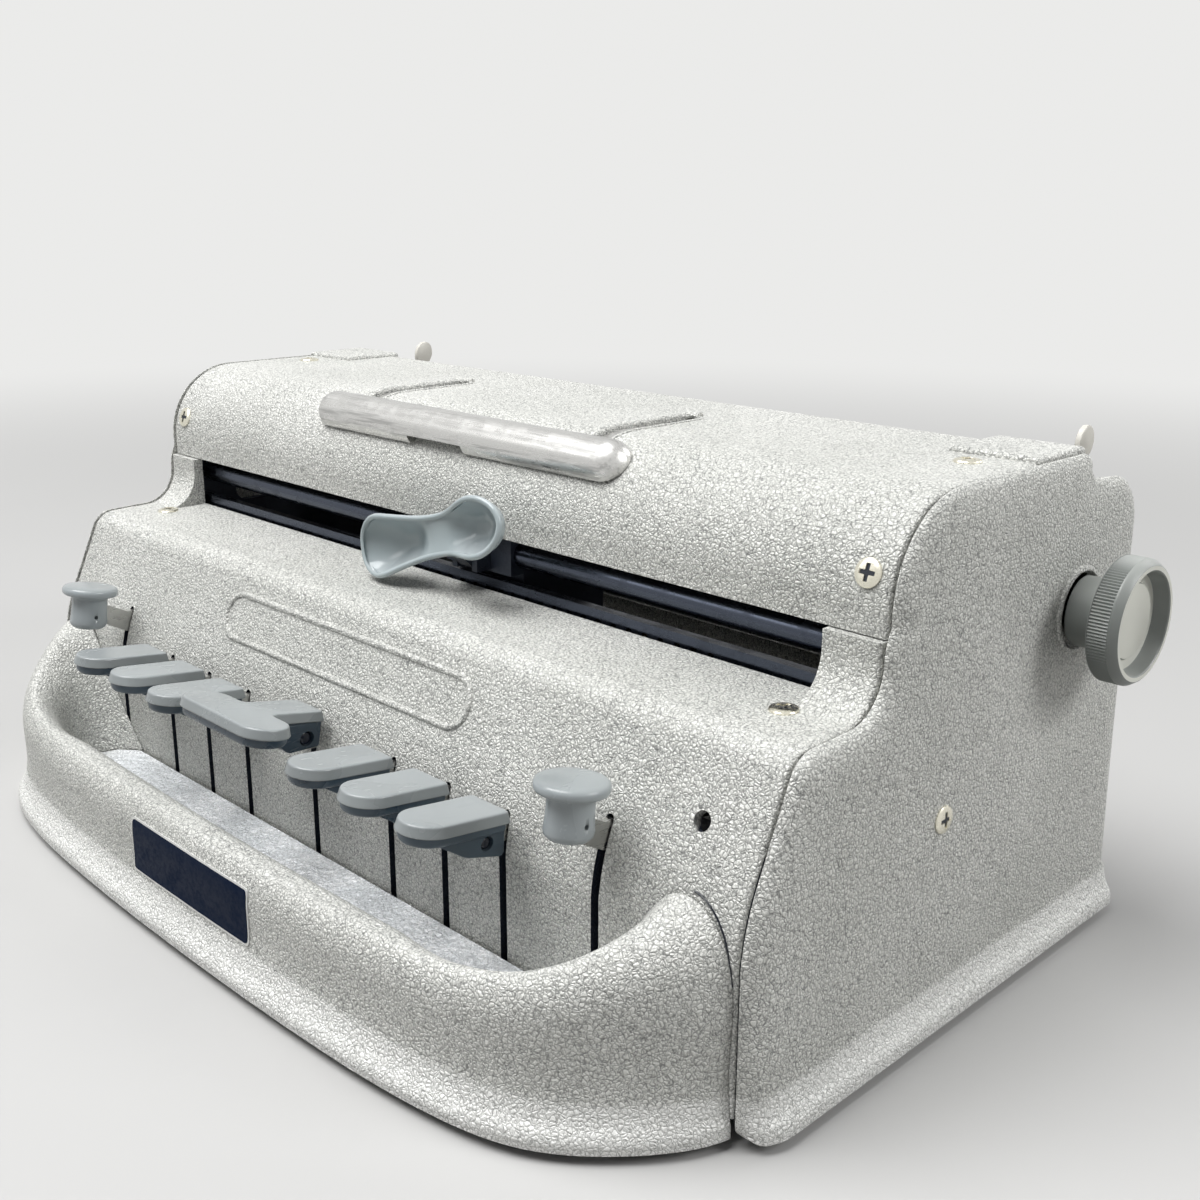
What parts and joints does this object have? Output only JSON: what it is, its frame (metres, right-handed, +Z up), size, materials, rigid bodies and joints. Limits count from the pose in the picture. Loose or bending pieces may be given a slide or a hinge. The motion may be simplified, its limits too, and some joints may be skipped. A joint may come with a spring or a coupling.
{
  "type": "manual braille writer",
  "caption": "Desktop manual braille writer: curved cast case, finger keys with levers and bails, sliding embossing carriage, paper drum with end knobs and a lift-up handle.",
  "frame": {"origin": "on the table, under the middle of the machine's outer box", "axes": "+X to the right of somebody who faces the keys, +Y to the rear, +Z up"},
  "size_m": [0.396, 0.2311, 0.1544],
  "materials": {
    "base_plate": "dark enamel",
    "rubber_feet": "matt black",
    "front_apron": "light grey crackle enamel",
    "front_panel": "light grey crackle enamel",
    "left_side_panel": "light grey crackle enamel",
    "right_side_panel": "light grey crackle enamel",
    "top_cover": "light grey crackle enamel",
    "rear_panel": "light grey crackle enamel",
    "paper_table": "satin",
    "side_frames": "dark enamel",
    "cross_members": "satin",
    "carriage_rails": "satin",
    "escapement_rack": "satin",
    "key_shaft": "satin",
    "key_springs": "satin",
    "casing_screws": "satin",
    "margin_rail": "satin",
    "bell": "polished",
    "space_bar": "glossy blue-grey",
    "space_lever": "satin",
    "line_key_cap": "glossy blue-grey",
    "line_lever": "satin",
    "backspace_key_cap": "glossy blue-grey",
    "backspace_lever": "satin",
    "carriage_block": "polished",
    "embossing_head": "satin",
    "carriage_lever": "glossy blue-grey",
    "paper_drum": "polished",
    "drum_shaft": "satin",
    "left_knob": "glossy blue-grey",
    "right_knob": "glossy blue-grey",
    "ratchet_wheel": "satin",
    "roller_cradle": "satin",
    "feed_rollers": "satin",
    "release_shaft": "satin",
    "release_levers": "cream paint",
    "handle_bar": "polished",
    "handle_arms": "polished",
    "mainspring_drum": "satin",
    "left_margin_stop": "satin",
    "right_margin_stop": "satin",
    "bell_clapper": "satin",
    "dot_1_key_cap": "glossy blue-grey",
    "dot_1_lever": "satin",
    "dot_2_key_cap": "glossy blue-grey",
    "dot_2_lever": "satin",
    "dot_3_key_cap": "glossy blue-grey",
    "dot_3_lever": "satin",
    "dot_4_key_cap": "glossy blue-grey",
    "dot_4_lever": "satin",
    "dot_5_key_cap": "glossy blue-grey",
    "dot_5_lever": "satin",
    "dot_6_key_cap": "glossy blue-grey",
    "dot_6_lever": "satin",
    "dot_1_pin": "satin",
    "dot_2_pin": "satin",
    "dot_3_pin": "satin",
    "dot_4_pin": "satin",
    "dot_5_pin": "satin",
    "dot_6_pin": "satin"
  },
  "bodies": {
    "casing": {"base_plate": "base_plate", "rubber_feet": "rubber_feet", "front_apron": "front_apron", "front_panel": "front_panel", "left_side_panel": "left_side_panel", "right_side_panel": "right_side_panel", "top_cover": "top_cover", "rear_panel": "rear_panel", "paper_table": "paper_table", "side_frames": "side_frames", "cross_members": "cross_members", "carriage_rails": "carriage_rails", "escapement_rack": "escapement_rack", "key_shaft": "key_shaft", "key_springs": "key_springs", "casing_screws": "casing_screws", "margin_rail": "margin_rail", "bell": "bell"},
    "space_key": {"space_bar": "space_bar", "space_lever": "space_lever"},
    "line_key": {"line_key_cap": "line_key_cap", "line_lever": "line_lever"},
    "backspace_key": {"backspace_key_cap": "backspace_key_cap", "backspace_lever": "backspace_lever"},
    "carriage": {"carriage_block": "carriage_block", "embossing_head": "embossing_head"},
    "carriage_grip": {"carriage_lever": "carriage_lever"},
    "platen": {"paper_drum": "paper_drum", "drum_shaft": "drum_shaft", "left_knob": "left_knob", "right_knob": "right_knob", "ratchet_wheel": "ratchet_wheel"},
    "cradle": {"roller_cradle": "roller_cradle"},
    "feed": {"feed_rollers": "feed_rollers"},
    "release": {"release_shaft": "release_shaft", "release_levers": "release_levers"},
    "handle": {"handle_bar": "handle_bar", "handle_arms": "handle_arms"},
    "spring_barrel": {"mainspring_drum": "mainspring_drum"},
    "left_stop": {"left_margin_stop": "left_margin_stop"},
    "right_stop": {"right_margin_stop": "right_margin_stop"},
    "clapper": {"bell_clapper": "bell_clapper"},
    "dot_1_key": {"dot_1_key_cap": "dot_1_key_cap", "dot_1_lever": "dot_1_lever"},
    "dot_2_key": {"dot_2_key_cap": "dot_2_key_cap", "dot_2_lever": "dot_2_lever"},
    "dot_3_key": {"dot_3_key_cap": "dot_3_key_cap", "dot_3_lever": "dot_3_lever"},
    "dot_4_key": {"dot_4_key_cap": "dot_4_key_cap", "dot_4_lever": "dot_4_lever"},
    "dot_5_key": {"dot_5_key_cap": "dot_5_key_cap", "dot_5_lever": "dot_5_lever"},
    "dot_6_key": {"dot_6_key_cap": "dot_6_key_cap", "dot_6_lever": "dot_6_lever"},
    "pin_1": {"dot_1_pin": "dot_1_pin"},
    "pin_2": {"dot_2_pin": "dot_2_pin"},
    "pin_3": {"dot_3_pin": "dot_3_pin"},
    "pin_4": {"dot_4_pin": "dot_4_pin"},
    "pin_5": {"dot_5_pin": "dot_5_pin"},
    "pin_6": {"dot_6_pin": "dot_6_pin"}
  },
  "joints": [
    {"name": "dot_1_press", "type": "hinge", "parent": "casing", "child": "dot_1_key", "pos_m": [0, -0.0017, 0.049], "axis": [1, 0, 0], "range_deg": [0, 8], "stiffness_Nm_per_rad": 0.8, "springref_deg": -8.59},
    {"name": "dot_2_press", "type": "hinge", "parent": "casing", "child": "dot_2_key", "pos_m": [0, -0.0017, 0.049], "axis": [1, 0, 0], "range_deg": [0, 8], "stiffness_Nm_per_rad": 0.8, "springref_deg": -8.59},
    {"name": "dot_3_press", "type": "hinge", "parent": "casing", "child": "dot_3_key", "pos_m": [0, -0.0017, 0.049], "axis": [1, 0, 0], "range_deg": [0, 8], "stiffness_Nm_per_rad": 0.8, "springref_deg": -8.59},
    {"name": "dot_4_press", "type": "hinge", "parent": "casing", "child": "dot_4_key", "pos_m": [0, -0.0017, 0.049], "axis": [1, 0, 0], "range_deg": [0, 8], "stiffness_Nm_per_rad": 0.8, "springref_deg": -8.59},
    {"name": "dot_5_press", "type": "hinge", "parent": "casing", "child": "dot_5_key", "pos_m": [0, -0.0017, 0.049], "axis": [1, 0, 0], "range_deg": [0, 8], "stiffness_Nm_per_rad": 0.8, "springref_deg": -8.59},
    {"name": "dot_6_press", "type": "hinge", "parent": "casing", "child": "dot_6_key", "pos_m": [0, -0.0017, 0.049], "axis": [1, 0, 0], "range_deg": [0, 8], "stiffness_Nm_per_rad": 0.8, "springref_deg": -8.59},
    {"name": "space_press", "type": "hinge", "parent": "casing", "child": "space_key", "pos_m": [0, -0.0017, 0.049], "axis": [1, 0, 0], "range_deg": [0, 8], "stiffness_Nm_per_rad": 0.8, "springref_deg": -8.59},
    {"name": "line_press", "type": "hinge", "parent": "casing", "child": "line_key", "pos_m": [0, -0.0017, 0.049], "axis": [1, 0, 0], "range_deg": [0, 8], "stiffness_Nm_per_rad": 0.8, "springref_deg": -8.59},
    {"name": "backspace_press", "type": "hinge", "parent": "casing", "child": "backspace_key", "pos_m": [0, -0.0017, 0.049], "axis": [1, 0, 0], "range_deg": [0, 8], "stiffness_Nm_per_rad": 0.8, "springref_deg": -8.59},
    {"name": "pin_1_lift", "type": "slide", "parent": "carriage", "child": "pin_1", "axis": [0, 0, 1], "range_m": [0, 0.00171]},
    {"name": "pin_2_lift", "type": "slide", "parent": "carriage", "child": "pin_2", "axis": [0, 0, 1], "range_m": [0, 0.00262]},
    {"name": "pin_3_lift", "type": "slide", "parent": "carriage", "child": "pin_3", "axis": [0, 0, 1], "range_m": [0, 0.00353]},
    {"name": "pin_4_lift", "type": "slide", "parent": "carriage", "child": "pin_4", "axis": [0, 0, 1], "range_m": [0, 0.00216]},
    {"name": "pin_5_lift", "type": "slide", "parent": "carriage", "child": "pin_5", "axis": [0, 0, 1], "range_m": [0, 0.00308]},
    {"name": "pin_6_lift", "type": "slide", "parent": "carriage", "child": "pin_6", "axis": [0, 0, 1], "range_m": [0, 0.00399]},
    {"name": "carriage_travel", "type": "slide", "parent": "casing", "child": "carriage", "axis": [1, 0, 0], "range_m": [-0.133, 0.103]},
    {"name": "grip_press", "type": "hinge", "parent": "carriage", "child": "carriage_grip", "pos_m": [0.015, -0.0101, 0.107], "axis": [1, 0, 0], "range_deg": [0, 5], "stiffness_Nm_per_rad": 0.3, "springref_deg": -11.46},
    {"name": "drum_turn", "type": "hinge", "parent": "casing", "child": "platen", "pos_m": [0, 0.0802, 0.1065], "axis": [1, 0, 0], "continuous": true},
    {"name": "cradle_rock", "type": "hinge", "parent": "casing", "child": "cradle", "pos_m": [0, 0.0963, 0.069], "axis": [1, 0, 0], "range_deg": [0, 10]},
    {"name": "release_turn", "type": "hinge", "parent": "casing", "child": "release", "pos_m": [0, 0.0993, 0.12], "axis": [1, 0, 0], "range_deg": [0, 25.5]},
    {"name": "feed_turn", "type": "hinge", "parent": "cradle", "child": "feed", "pos_m": [0, 0.0802, 0.0832], "axis": [1, 0, 0], "continuous": true},
    {"name": "handle_lift", "type": "hinge", "parent": "casing", "child": "handle", "pos_m": [0, 0.0403, 0.14], "axis": [-1, 0, 0], "range_deg": [0, 75]},
    {"name": "barrel_turn", "type": "hinge", "parent": "casing", "child": "spring_barrel", "pos_m": [-0.134, 0.0553, 0.031], "axis": [0, 1, 0], "range_deg": [-382, 296]},
    {"name": "left_stop_slide", "type": "slide", "parent": "casing", "child": "left_stop", "axis": [1, 0, 0], "range_m": [-0.01, 0.11]},
    {"name": "right_stop_slide", "type": "slide", "parent": "casing", "child": "right_stop", "axis": [1, 0, 0], "range_m": [-0.11, 0.01]},
    {"name": "clapper_swing", "type": "hinge", "parent": "casing", "child": "clapper", "pos_m": [0.14, 0.0663, 0.017], "axis": [0, 0, 1], "range_deg": [0, 15], "stiffness_Nm_per_rad": 0.02, "springref_deg": -5.73}
  ],
  "couplings": [
    {"joint": "pin_1_lift", "follows": "dot_1_press", "m_per_rad": 0.012},
    {"joint": "pin_2_lift", "follows": "dot_2_press", "m_per_rad": 0.0184},
    {"joint": "pin_3_lift", "follows": "dot_3_press", "m_per_rad": 0.0248},
    {"joint": "pin_4_lift", "follows": "dot_4_press", "m_per_rad": 0.0152},
    {"joint": "pin_5_lift", "follows": "dot_5_press", "m_per_rad": 0.0216},
    {"joint": "pin_6_lift", "follows": "dot_6_press", "m_per_rad": 0.028},
    {"joint": "release_turn", "follows": "cradle_rock", "ratio": 2.5},
    {"joint": "feed_turn", "follows": "drum_turn", "ratio": -2.8333},
    {"joint": "barrel_turn", "follows": "carriage_travel", "rad_per_m": 50}
  ]
}
